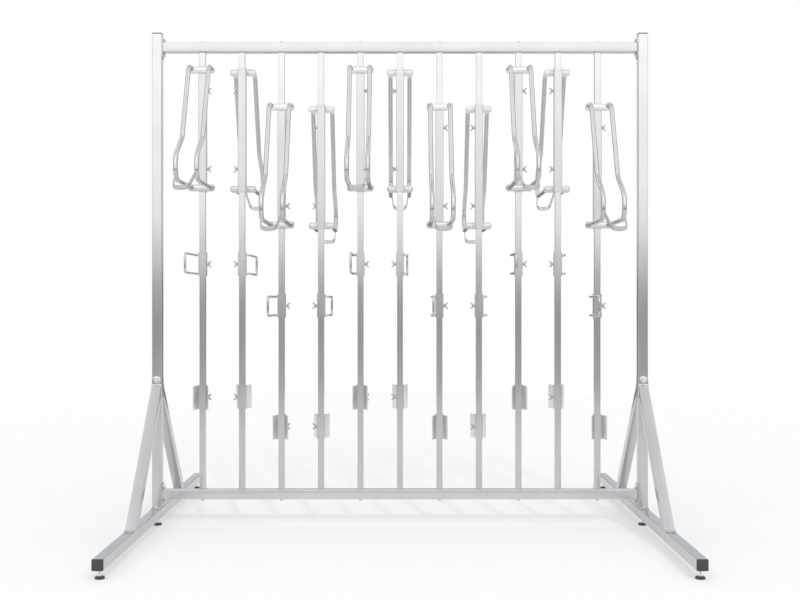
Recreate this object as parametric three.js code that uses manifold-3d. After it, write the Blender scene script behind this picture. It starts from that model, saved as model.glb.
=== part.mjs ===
// Two-sided upright bike rack. Each bike hangs by its front wheel, and the wheel holders sit at two
// alternating heights, so that the handlebars of neighbours clear each other.
// Millimetres, +Z up. The rack's length runs along X and its front faces -Y.
// The origin is on the ground under the middle of the rack.
import * as THREE from 'three';
import { mergeVertices } from 'three/addons/utils/BufferGeometryUtils.js';
import Module from 'manifold-3d';

const wasm = await Module();
wasm.setup();

// Frame of square tube
const frameSide = 40;
const frameWall = 2.5;
const frameCorner = 3;
const frameBore = frameSide - 2 * frameWall;
const clearSpan = 2000;
const endPostHeight = 1992;
const footLength = 1870;
const footClearance = 33;
const capLip = 3;
const topRailDrop = 37;
const bottomRailRise = 38;

// Plates that are welded to tube ends and bolted to the next piece
const plateThick = 4;
const endPlateHeight = 90;
const endBoltOffset = 31;
const basePlateLength = 82;
const baseBoltOffset = 31;

// Diagonal braces, by where their front edge meets the post and the foot tube
const braceTop = 592;
const braceReach = 478;
const braceBoltRise = 17;
const braceBoltLead = 13;
const braceSpare = 80;
const tabMargin = 19;
const tabCorner = 18;

// Fasteners, and how deep a welded or clamped piece is sunk into what carries it
const nutAcross = 13;
const nutHeight = 8;
const headRadius = 8;
const headHeight = 5;
const headRim = 2;
const headCrown = 4.5;
const weldBite = 1;

// Thin posts between the rails
const postCount = 11;
const postMargin = 170;
const postSide = 25;
const postWall = 2;
const postCorner = 2;

// Sleeves that slide on the thin posts
const sleeveSide = 33;
const sleeveCorner = 3;
const slideClearance = 0.5;

// Wheel holder
const holderSpan = 493;
const crossbarDiameter = 30;
const crossbarLength = 111;
const crossbarLead = 29;
const crossbarDome = 9;
const armDiameter = 19;
const armSpacing = 82;
const armRise = 4;
const shoulderReach = 95;
const shoulderBend = 45;
const kneeReach = 237;
const kneeHeight = 178;
const kneeBend = 30;
const noseReach = 369;
const noseHeight = 94;
const noseBend = 60;
const heelReach = 366;
const heelBend = 42;
const strapWidth = 20;
const strapThick = 4;
const strapRootReach = 362;
const strapRootHeight = 31;
const strapReach = 487;
const strapDrop = 46;
const strapEndWidth = 62;
const strapCorner = 30;

// Lock loop, and the sleeve height it shares with the tyre plate
const shortSleeve = 100;
const loopBar = 10;
const loopReach = 226;
const loopOffset = 31.5;
const loopLow = 10;
const loopGap = 78;
const loopRootBend = 13;
const loopEndBend = 20;

// Tyre plate for the rear wheel
const flangeLength = 36;
const flangeSpread = 66;
const flangeThick = 3;

// Heights of the three sliding pieces above the ground, for the lower and the upper tier
const holderHeights = { lower: 1261, upper: 1416 };
const loopHeights = { lower: 873, upper: 1048 };
const plateHeights = { lower: 365, upper: 489 };

// Levelling feet
const padRadius = 17.5;
const padRim = 3;
const padHeight = 10;
const collarRadius = 9;
const collarTop = 24;
const stemDiameter = 8;
const stemInside = 18;
const stemClearance = 0.4;
const footInset = 32;

// Facet counts, how far a bend's facets may stray from its arc, and how far a cut runs past what it cuts
const cornerSteps = 1;
const tabSteps = 3;
const strapSteps = 2;
const hexSides = 6;
const barSides = 6;
const roundSides = 8;
const domeRings = 2;
const bendStray = 1.4;
const overrun = 5;

// Places worked out from the sizes above
const uprightX = (clearSpan + frameSide) / 2;
const footTop = footClearance + frameSide;
const endPostTop = footTop + endPostHeight;
const topRailBottom = endPostTop - topRailDrop - frameSide;
const bottomRailBottom = footTop + bottomRailRise;
const postBottom = bottomRailBottom + frameSide;
const postLength = topRailBottom - postBottom;
const sleeveBore = postSide + 2 * slideClearance;
const footPlaces = [-1, 0, 1].map((side) => side * (footLength / 2 - footInset));
const postPitch = (clearSpan - 2 * postMargin) / (postCount - 1);
const postPlaces = Array.from({ length: postCount }, (_, i) => (i - (postCount - 1) / 2) * postPitch);

// Every second post faces the back, and the tier changes at every second post.
const facesFront = (i) => i % 2 === 0;
const tierOf = (i) => (Math.floor(i / 2) % 2 === 0 ? 'upper' : 'lower');

const galvanised = new THREE.MeshStandardMaterial({ color: 0xb9bbbc, roughness: 0.42, metalness: 0.85 });
const polished = new THREE.MeshStandardMaterial({ color: 0xc9cbce, roughness: 0.28, metalness: 0.95 });
const darkPad = new THREE.MeshStandardMaterial({ color: 0x1b1b1c, roughness: 0.55, metalness: 0 });

// A closed mesh becomes a solid that can be joined and cut, and back again.
function solidOf(geometry) {
  const bare = geometry.clone();
  bare.deleteAttribute('normal');
  bare.deleteAttribute('uv');
  const merged = mergeVertices(bare);
  const triVerts = [];
  for (let i = 0; i < merged.index.count; i += 3) {
    const [a, b, c] = [0, 1, 2].map((k) => merged.index.getX(i + k));
    if (a !== b && b !== c && c !== a) triVerts.push(a, b, c);
  }
  return new wasm.Manifold(new wasm.Mesh({
    numProp: 3,
    vertProperties: new Float32Array(merged.attributes.position.array),
    triVerts: new Uint32Array(triVerts),
  }));
}

function geometryOf(solid) {
  const mesh = solid.getMesh();
  const geometry = new THREE.BufferGeometry();
  geometry.setAttribute('position', new THREE.BufferAttribute(mesh.vertProperties, 3));
  geometry.setIndex(new THREE.BufferAttribute(mesh.triVerts, 1));
  geometry.computeVertexNormals();
  return geometry;
}

function joined(geometries) {
  return geometries.map(solidOf).reduce((whole, piece) => whole.add(piece));
}

// Closed outline through corner points, each given as x, y and, where it is rounded, a corner radius.
function outlineThrough(corners) {
  const outline = new THREE.Shape();
  const count = corners.length;
  corners.forEach(([x, y, radius = 0], i) => {
    const corner = new THREE.Vector2(x, y);
    const [before, after] = [corners.at(i - 1), corners[(i + 1) % count]].map(
      ([otherX, otherY]) => new THREE.Vector2(otherX, otherY).sub(corner).setLength(radius).add(corner),
    );
    if (i === 0) outline.moveTo(before.x, before.y);
    else outline.lineTo(before.x, before.y);
    if (radius > 0) outline.quadraticCurveTo(x, y, after.x, after.y);
  });
  outline.closePath();
  return outline;
}

function extruded(outline, depth, curveSegments) {
  return new THREE.ExtrudeGeometry(outline, { depth, curveSegments, bevelEnabled: false });
}

// Square bar with rounded corners, standing on its origin along +Z. A tube is this bar with its bore cut.
function squareBar(side, corner, length) {
  const half = side / 2;
  const signs = [[-1, -1], [1, -1], [1, 1], [-1, 1]];
  const corners = signs.map(([x, y]) => [x * half, y * half, corner]);
  return extruded(outlineThrough(corners), length, cornerSteps);
}

// Sharp square bar that cuts a bore, standing on its origin along +Z.
function boreCutter(side, length) {
  return new THREE.BoxGeometry(side, side, length).translate(0, 0, length / 2);
}

// Bore right through a sleeve or post whose lower end is at the given height.
function throughBore(side, bottom, length) {
  return solidOf(boreCutter(side, length + 2 * overrun).translate(0, 0, bottom - overrun));
}

// Box between two corners, each given by its three coordinates.
function block(low, high) {
  const size = high.map((value, i) => value - low[i]);
  const centre = high.map((value, i) => (value + low[i]) / 2);
  return new THREE.BoxGeometry(...size).translate(...centre);
}

// Hexagon nut along +Z, sunk by the depth that joins it to what carries it.
function hexNut() {
  const radius = nutAcross / Math.sqrt(3);
  const height = nutHeight + weldBite;
  return new THREE.CylinderGeometry(radius, radius, height, hexSides)
    .rotateX(Math.PI / 2)
    .translate(0, 0, height / 2 - weldBite);
}

// Domed bolt head along +Z, sunk in the same way.
function domedHead() {
  const profile = [
    new THREE.Vector2(0, -weldBite),
    new THREE.Vector2(headRadius, -weldBite),
    new THREE.Vector2(headRadius, headRim),
    new THREE.Vector2(headCrown, headHeight),
    new THREE.Vector2(0, headHeight),
  ];
  return new THREE.LatheGeometry(profile, roundSides).rotateX(Math.PI / 2);
}

// A round bar's route through corner points, as arcs of the given radii joined by straight runs.
// Its rings stand only where the bar starts, bends or ends, and stray from the arc by bendStray at most.
class BentRoute extends THREE.Curve {
  constructor(points, radii) {
    super();
    const last = points.length - 1;
    const toward = (from, to) => new THREE.Vector3().subVectors(to, from).normalize();
    this.stations = [{ point: points[0], tangent: toward(points[0], points[1]) }];
    for (let i = 1; i < last; i += 1) {
      const [before, after] = [toward(points[i - 1], points[i]), toward(points[i], points[i + 1])];
      this.bend(points[i], before, after, radii[i - 1]);
    }
    this.stations.push({ point: points[last], tangent: toward(points[last - 1], points[last]) });
  }

  bend(corner, before, after, radius) {
    const turn = before.angleTo(after);
    const start = corner.clone().addScaledVector(before, -radius * Math.tan(turn / 2));
    const inward = after.clone().addScaledVector(before, -after.dot(before)).normalize();
    const centre = start.clone().addScaledVector(inward, radius);
    const steps = Math.ceil(turn / (2 * Math.acos(1 - bendStray / radius)));
    for (let k = 0; k <= steps; k += 1) {
      const angle = (turn * k) / steps;
      this.stations.push({
        point: centre.clone()
          .addScaledVector(inward, -radius * Math.cos(angle))
          .addScaledVector(before, radius * Math.sin(angle)),
        tangent: before.clone().multiplyScalar(Math.cos(angle)).addScaledVector(inward, Math.sin(angle)),
      });
    }
  }

  get steps() {
    return this.stations.length - 1;
  }

  between(t, key) {
    const place = t * this.steps;
    const index = Math.min(Math.floor(place), this.steps - 1);
    return this.stations[index][key].clone().lerp(this.stations[index + 1][key], place - index);
  }

  getPoint(t) {
    return this.between(t, 'point');
  }

  getTangent(t) {
    return this.between(t, 'tangent').normalize();
  }

  getUtoTmapping(u) {
    return u;
  }
}

function roundBar(diameter, points, radii) {
  const route = new BentRoute(points, radii);
  const outline = new THREE.Shape();
  for (let i = 0; i < barSides; i += 1) {
    const angle = ((i + 0.5) / barSides) * 2 * Math.PI;
    const corner = [(diameter / 2) * Math.cos(angle), (diameter / 2) * Math.sin(angle)];
    if (i === 0) outline.moveTo(...corner);
    else outline.lineTo(...corner);
  }
  const settings = { steps: route.steps, extrudePath: route, bevelEnabled: false };
  return new THREE.ExtrudeGeometry(outline, settings);
}

// End post: a tube on a bored base plate, closed by its cap, with the heads of the rail bolts on its
// outer face and the nuts that hold it to the foot tube. Its origin is on the foot tube; +X is outside.
function endPost() {
  const half = frameSide / 2;
  const plate = block([-half, -basePlateLength / 2, 0], [half, basePlateLength / 2, plateThick]);
  const heads = [topRailBottom, bottomRailBottom].flatMap((rail) => [-endBoltOffset, endBoltOffset].map(
    (offset) => domedHead().rotateY(Math.PI / 2).translate(half, 0, rail + half + offset - footTop),
  ));
  const nuts = [-baseBoltOffset, baseBoltOffset].map((y) => hexNut().translate(0, y, plateThick));
  const tube = squareBar(frameSide, frameCorner, endPostHeight + capLip);
  const hollow = boreCutter(frameBore, endPostHeight + overrun).translate(0, 0, -overrun);
  return geometryOf(joined([tube, plate, ...heads, ...nuts]).subtract(solidOf(hollow)));
}

// Foot tube: capped at both ends, with a hole in its lower wall for the stem of each levelling foot.
// Its origin is at its middle.
function footTube() {
  const boreLength = footLength - 2 * capLip;
  const radius = stemDiameter / 2 + stemClearance;
  const tube = squareBar(frameSide, frameCorner, footLength).translate(0, 0, -footLength / 2);
  const hollow = boreCutter(frameBore, boreLength).translate(0, 0, -boreLength / 2);
  const depth = frameWall + overrun;
  const holes = footPlaces.map((y) => new THREE.CylinderGeometry(radius, radius, depth, roundSides)
    .rotateX(Math.PI / 2)
    .translate(0, y, -frameSide / 2));
  const cuts = joined([hollow.rotateX(Math.PI / 2), ...holes]);
  return geometryOf(solidOf(tube.rotateX(Math.PI / 2)).subtract(cuts));
}

// Rail: a tube between two bored end plates. It carries the nuts of its end bolts and, on its outer side,
// those of the posts that are bolted to it. Its origin is at its middle.
function rail(outerSide) {
  const half = frameSide / 2;
  const end = clearSpan / 2;
  const ends = [-1, 1].flatMap((side) => {
    const plate = block([end - plateThick, -half, -endPlateHeight / 2], [end, half, endPlateHeight / 2]);
    const nuts = [-endBoltOffset, endBoltOffset].map(
      (z) => hexNut().rotateY(-Math.PI / 2).translate(end - plateThick, 0, z),
    );
    return [plate, ...nuts].map((piece) => (side > 0 ? piece : piece.rotateZ(Math.PI)));
  });
  const postNuts = postPlaces.filter((x, i) => facesFront(i)).map((x) => {
    const nut = hexNut().translate(x, 0, half);
    return outerSide > 0 ? nut : nut.rotateX(Math.PI);
  });
  const tube = squareBar(frameSide, frameCorner, clearSpan).translate(0, 0, -end).rotateY(Math.PI / 2);
  const length = clearSpan + 2 * overrun;
  const hollow = boreCutter(frameBore, length).translate(0, 0, -length / 2).rotateY(Math.PI / 2);
  return geometryOf(joined([tube, ...ends, ...postNuts]).subtract(solidOf(hollow)));
}

// Brace: a slanting tube between two bored plates, one on the post's front face and one on the foot tube.
// Its origin is on the foot tube under the end post, and it comes down towards -Y.
function brace() {
  const half = frameSide / 2;
  const drop = braceTop - footTop - plateThick;
  const run = braceReach - half - plateThick;
  const lean = Math.atan2(run, drop);
  const length = Math.hypot(run, drop) + 2 * braceSpare;
  const slanted = (geometry) => geometry
    .translate(0, half, -braceSpare)
    .rotateX(-lean)
    .translate(0, -braceReach, plateThick);
  const room = block(
    [-frameSide, -footLength / 2, plateThick - weldBite],
    [frameSide, -half - plateThick + weldBite, endPostHeight],
  );
  const tube = solidOf(slanted(squareBar(frameSide, frameCorner, length))).intersect(solidOf(room));
  const hollow = solidOf(slanted(boreCutter(frameBore, length)));
  const topHeight = braceTop - footTop;
  const [lowerBolt, upperBolt] = [braceReach + braceBoltLead, topHeight + braceBoltRise];
  const lower = tabPlate(braceReach - frameSide / Math.cos(lean), lowerBolt).rotateZ(Math.PI);
  const upper = tabPlate(topHeight - frameSide / Math.sin(lean), upperBolt)
    .rotateX(Math.PI / 2)
    .translate(0, -half, 0);
  const nuts = [
    hexNut().translate(0, -lowerBolt, plateThick),
    hexNut().rotateX(Math.PI / 2).translate(0, -half - plateThick, upperBolt),
  ];
  return geometryOf(joined([lower, upper, ...nuts]).add(tube).subtract(hollow));
}

// Flat plate that runs along +Y from a tube's inner edge to just past its bolt, with rounded far corners.
function tabPlate(inner, bolt) {
  const half = frameSide / 2;
  const [near, far] = [inner - plateThick, bolt + tabMargin];
  const corners = [[-half, near], [half, near], [half, far, tabCorner], [-half, far, tabCorner]];
  return extruded(outlineThrough(corners), plateThick, tabSteps);
}

// Thin post between the rails, standing on its origin.
function thinPost() {
  const bar = solidOf(squareBar(postSide, postCorner, postLength));
  return geometryOf(bar.subtract(throughBore(postSide - 2 * postWall, 0, postLength)));
}

// Crossbar with domed ends, along X and centred on its origin.
function crossbar() {
  const radius = crossbarDiameter / 2;
  const end = crossbarLength / 2;
  const dome = (side) => Array.from({ length: domeRings + 1 }, (_, i) => {
    const angle = (i / domeRings) * (Math.PI / 2);
    const drop = crossbarDome * (1 - Math.cos(angle));
    return new THREE.Vector2(radius * Math.sin(angle), side * (end - drop));
  });
  return new THREE.LatheGeometry([...dome(-1), ...dome(1).reverse()], roundSides).rotateZ(-Math.PI / 2);
}

// One side arm: out of the upper crossbar, down and outwards to the nose, and back to the lower crossbar.
function arm(side) {
  const at = (reach, height) => new THREE.Vector3((side * armSpacing) / 2, -reach, height);
  const points = [
    at(crossbarLead, holderSpan + armRise),
    at(shoulderReach, holderSpan + armRise),
    at(kneeReach, kneeHeight),
    at(noseReach, noseHeight),
    at(heelReach, 0),
    at(crossbarLead, 0),
  ];
  return roundBar(armDiameter, points, [shoulderBend, kneeBend, noseBend, heelBend]);
}

// Flat strap bent to a round-ended U, which joins the noses of the two arms and slopes down and outwards.
function strap() {
  const run = strapReach - strapRootReach;
  const drop = strapRootHeight + strapDrop;
  const length = Math.hypot(run, drop);
  const [root, end] = [armSpacing / 2, strapEndWidth / 2];
  const [innerRoot, innerEnd] = [root - strapThick, end - strapThick];
  const innerLength = length - strapThick;
  const innerCorner = strapCorner - strapThick;
  const corners = [
    [-root, 0],
    [-end, length, strapCorner],
    [end, length, strapCorner],
    [root, 0],
    [innerRoot, 0],
    [innerEnd, innerLength, innerCorner],
    [-innerEnd, innerLength, innerCorner],
    [-innerRoot, 0],
  ];
  return extruded(outlineThrough(corners), strapWidth, strapSteps)
    .translate(0, 0, -strapWidth / 2)
    .rotateX(Math.PI + Math.atan2(drop, run))
    .translate(0, -strapRootReach, strapRootHeight);
}

// Wheel holder. Its origin is on its post's axis, level with the lower crossbar, and it reaches to -Y.
function wheelHolder() {
  const bottom = -crossbarDiameter / 2;
  const height = holderSpan + crossbarDiameter;
  const sleeve = squareBar(sleeveSide, sleeveCorner, height).translate(0, 0, bottom);
  const bars = [0, holderSpan].map((z) => crossbar().translate(0, -crossbarLead, z));
  const whole = joined([sleeve, ...bars, arm(-1), arm(1), strap()]);
  return geometryOf(whole.subtract(throughBore(sleeveBore, bottom, height)));
}

// Lock loop: a short sleeve with a round bar bent to a long U beside the wheel. Its origin is on its
// post's axis, at the sleeve's lower end.
function lockLoop() {
  const side = (reach, height) => new THREE.Vector3(-loopOffset, -reach, height);
  const root = (height) => new THREE.Vector3(weldBite - sleeveSide / 2, 0, height);
  const points = [
    root(loopLow),
    side(0, loopLow),
    side(loopReach, loopLow),
    side(loopReach, loopLow + loopGap),
    side(0, loopLow + loopGap),
    root(loopLow + loopGap),
  ];
  const bar = roundBar(loopBar, points, [loopRootBend, loopEndBend, loopEndBend, loopRootBend]);
  const sleeve = squareBar(sleeveSide, sleeveCorner, shortSleeve);
  return geometryOf(joined([sleeve, bar]).subtract(throughBore(sleeveBore, 0, shortSleeve)));
}

// Tyre plate: a short sleeve whose front corners carry two flared flanges. Its origin is on its post's
// axis, at its lower end.
function tyrePlate() {
  const half = sleeveSide / 2;
  const inside = half - flangeThick;
  const spread = flangeSpread / 2;
  const reach = half + flangeLength;
  const outline = outlineThrough([
    [-half, -inside],
    [-spread, -reach],
    [flangeThick - spread, -reach],
    [-inside, -half],
    [inside, -half],
    [spread - flangeThick, -reach],
    [spread, -reach],
    [half, -inside],
    [half, half, sleeveCorner],
    [-half, half, sleeveCorner],
  ]);
  const whole = solidOf(extruded(outline, shortSleeve, cornerSteps));
  return geometryOf(whole.subtract(throughBore(sleeveBore, 0, shortSleeve)));
}

// Levelling foot: a sloped pad, a collar that tapers to the threaded stem, and its origin on the ground.
function levellingFoot() {
  const stem = stemDiameter / 2;
  const top = footClearance + frameWall + stemInside;
  const profile = [
    new THREE.Vector2(0, 0),
    new THREE.Vector2(padRadius, 0),
    new THREE.Vector2(padRadius, padRim),
    new THREE.Vector2(collarRadius, padHeight),
    new THREE.Vector2(stem, collarTop),
    new THREE.Vector2(stem, top),
    new THREE.Vector2(0, top),
  ];
  return geometryOf(solidOf(new THREE.LatheGeometry(profile, roundSides).rotateX(Math.PI / 2)));
}

function mesh(name, geometry, material, x, y, z) {
  const piece = new THREE.Mesh(geometry, material);
  piece.name = name;
  piece.position.set(x, y, z);
  return piece;
}

const group = new THREE.Group();

// The two end frames
const shapes = { post: endPost(), foot: footTube(), brace: brace(), level: levellingFoot() };
[['left', -1], ['right', 1]].forEach(([sideName, side]) => {
  const frame = new THREE.Group();
  frame.position.x = side * uprightX;
  const post = mesh(`end_post_${sideName}`, shapes.post, galvanised, 0, 0, footTop);
  post.rotation.z = side > 0 ? 0 : Math.PI;
  const front = mesh(`brace_front_${sideName}`, shapes.brace, galvanised, 0, 0, footTop);
  const rear = mesh(`brace_rear_${sideName}`, shapes.brace, galvanised, 0, 0, footTop);
  rear.rotation.z = Math.PI;
  const footAxis = footClearance + frameSide / 2;
  const foot = mesh(`foot_tube_${sideName}`, shapes.foot, galvanised, 0, 0, footAxis);
  frame.add(post, front, rear, foot);
  ['front', 'middle', 'rear'].forEach((place, i) => {
    frame.add(mesh(`levelling_foot_${place}_${sideName}`, shapes.level, darkPad, 0, footPlaces[i], 0));
  });
  group.add(frame);
});

group.add(mesh('top_rail', rail(1), galvanised, 0, 0, topRailBottom + frameSide / 2));
group.add(mesh('bottom_rail', rail(-1), galvanised, 0, 0, bottomRailBottom + frameSide / 2));

// The posts with their sliding pieces, facing the front and the back in turn
const [post, holder, loop, plate] = [thinPost(), wheelHolder(), lockLoop(), tyrePlate()];
postPlaces.forEach((x, i) => {
  const number = String(i + 1).padStart(2, '0');
  const tier = tierOf(i);
  const set = new THREE.Group();
  set.position.x = x;
  set.rotation.z = facesFront(i) ? 0 : Math.PI;
  set.add(
    mesh(`post_${number}`, post, galvanised, 0, 0, postBottom),
    mesh(`wheel_holder_${number}`, holder, polished, 0, 0, holderHeights[tier]),
    mesh(`lock_loop_${number}`, loop, galvanised, 0, 0, loopHeights[tier]),
    mesh(`tyre_plate_${number}`, plate, galvanised, 0, 0, plateHeights[tier]),
  );
  group.add(set);
});

export default group;
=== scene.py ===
import math

import bmesh
import bpy
from mathutils import Matrix, Vector


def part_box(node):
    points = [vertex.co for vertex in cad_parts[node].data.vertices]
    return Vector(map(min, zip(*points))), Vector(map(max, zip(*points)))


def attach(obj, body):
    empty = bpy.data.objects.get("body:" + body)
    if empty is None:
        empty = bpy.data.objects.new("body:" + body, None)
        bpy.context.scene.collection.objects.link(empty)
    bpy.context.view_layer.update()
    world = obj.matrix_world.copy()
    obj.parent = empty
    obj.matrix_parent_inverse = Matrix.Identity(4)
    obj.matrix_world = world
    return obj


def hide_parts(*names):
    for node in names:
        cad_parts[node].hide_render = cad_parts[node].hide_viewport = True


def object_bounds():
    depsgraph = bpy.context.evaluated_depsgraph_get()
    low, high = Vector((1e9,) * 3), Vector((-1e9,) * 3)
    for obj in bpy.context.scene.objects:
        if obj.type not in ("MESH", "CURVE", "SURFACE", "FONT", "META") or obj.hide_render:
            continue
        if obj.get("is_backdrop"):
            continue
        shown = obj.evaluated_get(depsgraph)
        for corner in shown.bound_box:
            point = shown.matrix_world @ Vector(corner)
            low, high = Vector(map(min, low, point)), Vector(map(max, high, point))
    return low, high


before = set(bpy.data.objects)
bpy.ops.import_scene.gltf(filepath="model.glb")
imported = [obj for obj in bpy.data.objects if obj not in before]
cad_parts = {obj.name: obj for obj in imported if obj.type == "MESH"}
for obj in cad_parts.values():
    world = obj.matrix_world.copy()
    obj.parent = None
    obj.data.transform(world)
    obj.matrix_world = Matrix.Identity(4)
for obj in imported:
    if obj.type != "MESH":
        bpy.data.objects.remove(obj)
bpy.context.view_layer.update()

# Everything is in metres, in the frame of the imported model: the rack runs along X and faces -Y.

# Camera: level, square to the rack, with a normal lens
CAMERA_PLACE = (0.0, -4.678, 0.947)
LENS_MM = 50.0
SENSOR_MM = 36.0

# Square tube of the frame, its plates and its caps
TUBE = 0.040
TUBE_CORNER = 0.0025
CAP_LIP = 0.0045
CAP_CORNER = 0.004
CAP_ROUND = 0.0006
PLATE = 0.004
PLATE_ROUND = 0.0006
END_PLATE_HEIGHT = 0.090
END_BOLTS = {"lower": -0.031, "upper": 0.031}
BASE_PLATE_LENGTH = 0.082
BASE_BOLTS = {"front": -0.031, "rear": 0.031}

# Diagonal braces, by where their front edge meets the post and the foot tube
BRACE_TOP = 0.592
BRACE_REACH = 0.478
BRACE_BOLT_RISE = 0.017
BRACE_BOLT_LEAD = 0.013
BRACE_SPARE = 0.080
TAB_MARGIN = 0.019
TAB_CORNER = 0.0185

# Thin posts and the sleeves on them
POST = 0.025
POST_CORNER = 0.002
SLEEVE = 0.033
SLEEVE_CORNER = 0.003
SLEEVE_WALL = 0.0035

# Wheel holder
HOLDER_HEIGHTS = {"lower": 1.261, "upper": 1.416}
HOLDER_SPAN = 0.493
CROSSBAR_RADIUS = 0.015
CROSSBAR_LENGTH = 0.111
CROSSBAR_LEAD = 0.029
CROSSBAR_DOME = 0.009
ARM_RADIUS = 0.0095
ARM_SPACING = 0.082
ARM_RISE = 0.004
SHOULDER_REACH, SHOULDER_BEND = 0.095, 0.045
KNEE_REACH, KNEE_HEIGHT, KNEE_BEND = 0.237, 0.178, 0.040
NOSE_REACH, NOSE_HEIGHT, NOSE_BEND = 0.369, 0.094, 0.060
HEEL_REACH, HEEL_BEND = 0.366, 0.042
STRAP_WIDTH, STRAP_THICK, STRAP_ROUND = 0.020, 0.004, 0.0008
STRAP_ROOT_REACH, STRAP_ROOT_HEIGHT = 0.362, 0.031
STRAP_REACH, STRAP_DROP = 0.487, 0.046
STRAP_END_WIDTH, STRAP_CORNER = 0.062, 0.030

# Lock loop and tyre plate
LOOP_RADIUS = 0.005
LOOP_REACH = 0.226
LOOP_OFFSET = 0.0315
LOOP_LOW, LOOP_GAP = 0.010, 0.078
LOOP_ROOT_BEND, LOOP_END_BEND = 0.013, 0.020
SHORT_SLEEVE = 0.100
FLANGE_LENGTH, FLANGE_SPREAD, FLANGE_THICK = 0.036, 0.066, 0.003
FLANGE_CORNER, FLANGE_ROUND = 0.003, 0.0005

# Wing screws: where they sit on a holder, counted from its crossbars, and their own sizes
WING_INSET = 0.082
HUB_RADIUS, HUB_LENGTH = 0.0075, 0.008
HUB_SHOULDER_RADIUS, HUB_SHOULDER = 0.0069, 0.002
NECK_RADIUS, NECK_LENGTH = 0.0038, 0.012
NECK_END_RADIUS, NECK_END = 0.00266, 0.00114
WING_LENGTH, WING_WIDTH, WING_THICK, WING_ROUND = 0.021, 0.0068, 0.0036, 0.0009
WING_OUT, WING_ROOT_OUT, WING_ROOT_RISE = 0.00882, 0.0048, 0.0019
WING_SPREAD = math.radians(37)

# Nuts, bolts and washers
NUT_ACROSS, NUT_HEIGHT, NUT_ROUND = 0.013, 0.0068, 0.00068
BOLT_RADIUS, BOLT_PROUD = 0.004, 0.0024
BOLT_END_RADIUS, BOLT_END = 0.003, 0.00144
WASHER_RADIUS, WASHER_THICK, WASHER_ROUND = 0.0085, 0.0014, 0.00042
BRACE_WASHER_RADIUS = 0.0115
HEAD_RADIUS, HEAD_HEIGHT, HEAD_RIM = 0.008, 0.0048, 0.001

# Levelling feet
PAD_RADIUS, PAD_RIM, PAD_HEIGHT, PAD_EDGE = 0.0175, 0.003, 0.010, 0.001
COLLAR_RADIUS, COLLAR_TOP = 0.009, 0.024
STEM_RADIUS, STEM_END_RADIUS = 0.004, 0.0032
THREAD_DEPTH, THREAD_PITCH = 0.0005, 0.00125

# Weld beads, and where a round one's crown lies as shares of its leg, outwards and up
BEAD = 0.003
FINE_BEAD = 0.0022
BRACE_BEAD = 0.0012
CROWN_OUT, CROWN_UP = 0.6, 0.5

# Facets of round shapes and of softened edges
CORNER_STEPS = 4
EDGE_STEPS = 2
BEAD_STEPS = 3
TAB_STEPS = 6
ROUND_STEPS = 24
BAR_STEPS = 18
WING_STEPS = 18
STUDIO_STEPS = 96
BEND_STEP = math.radians(8)
QUARTER_ARC = [math.radians(angle) for angle in range(0, 91, 15)]
SMOOTH_BELOW = math.radians(38)
ROUND_PROFILE = 0.5

# Limits for telling edges and faces apart
TINY = 1e-6
NEAR = 1e-4
ALIGNED = 0.5

SIDES = {"left": -1, "right": 1}
FOOT_PLACES = ("front", "middle", "rear")
TURN = {"front": 0.0, "rear": math.pi}
QUARTER = math.pi / 2

# Noise in the materials: its usual span, and its scale and detail for each use
NOISE_LOW, NOISE_HIGH = 0.3, 0.7
EVENLY = (1.0, 1.0, 1.0)
CLOUD_SCALE, CLOUD_DETAIL = 7.0, 2.0
LINE_SCALE, LINE_DETAIL, LINE_DEPTH = 1.0, 3.0, 0.0003
PATCH_SCALE, PATCH_DETAIL = 30.0, 2.0
PORE_SCALE, PORE_DETAIL, PORE_DEPTH, PORE_RELIEF = 1400.0, 2.0, 0.00008, 0.4
RIPPLE_SCALE, RIPPLE_DETAIL, RIPPLE_DEPTH, RIPPLE_RELIEF = 420.0, 2.0, 0.0006, 0.6

# How far tone and roughness run to either side of the value given
STEEL_SHADES = (0.95, 1.03)
STEEL_SMOOTHER, STEEL_ROUGHER = 0.02, 0.03
PLASTIC_SHADES = (0.85, 1.15)
PLASTIC_ROUGHNESS_SWING = 0.05
BEAD_SHADES = (0.7, 1.0)
BEAD_ROUGHNESS = (0.25, 0.45)
EDGE_TONE = (0.92, 0.93, 0.95, 1.0)
WHITE = (1.0, 1.0, 1.0, 1.0)


def new_material(name):
    material = bpy.data.materials.new(name)
    material.use_nodes = True
    nodes, links = material.node_tree.nodes, material.node_tree.links
    return material, nodes, links, nodes["Principled BSDF"]


def object_noise(nodes, links, stretch, scale, detail):
    """Noise that is fixed to the piece, drawn out along the axes with a small stretch value."""
    place = nodes.new("ShaderNodeTexCoord")
    mapping = nodes.new("ShaderNodeMapping")
    mapping.inputs["Scale"].default_value = stretch
    noise = nodes.new("ShaderNodeTexNoise")
    noise.inputs["Scale"].default_value = scale
    noise.inputs["Detail"].default_value = detail
    links.new(place.outputs["Object"], mapping.inputs["Vector"])
    links.new(mapping.outputs["Vector"], noise.inputs["Vector"])
    return noise.outputs["Fac"]


def between(nodes, links, noise, low, high):
    """A number that runs from low to high as the noise does."""
    span = nodes.new("ShaderNodeMapRange")
    span.inputs["From Min"].default_value = NOISE_LOW
    span.inputs["From Max"].default_value = NOISE_HIGH
    span.inputs["To Min"].default_value = low
    span.inputs["To Max"].default_value = high
    links.new(noise, span.inputs["Value"])
    return span.outputs["Result"]


def blend(nodes, links, factor, first, second):
    """Colour that runs from the first to the second, each a colour or a node's output."""
    mix = nodes.new("ShaderNodeMix")
    mix.data_type = "RGBA"
    for end, colour in (("A", first), ("B", second)):
        if isinstance(colour, bpy.types.NodeSocket):
            links.new(colour, mix.inputs[end])
        else:
            mix.inputs[end].default_value = (*colour, 1.0)
    links.new(factor, mix.inputs["Factor"])
    return mix.outputs["Result"]


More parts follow.
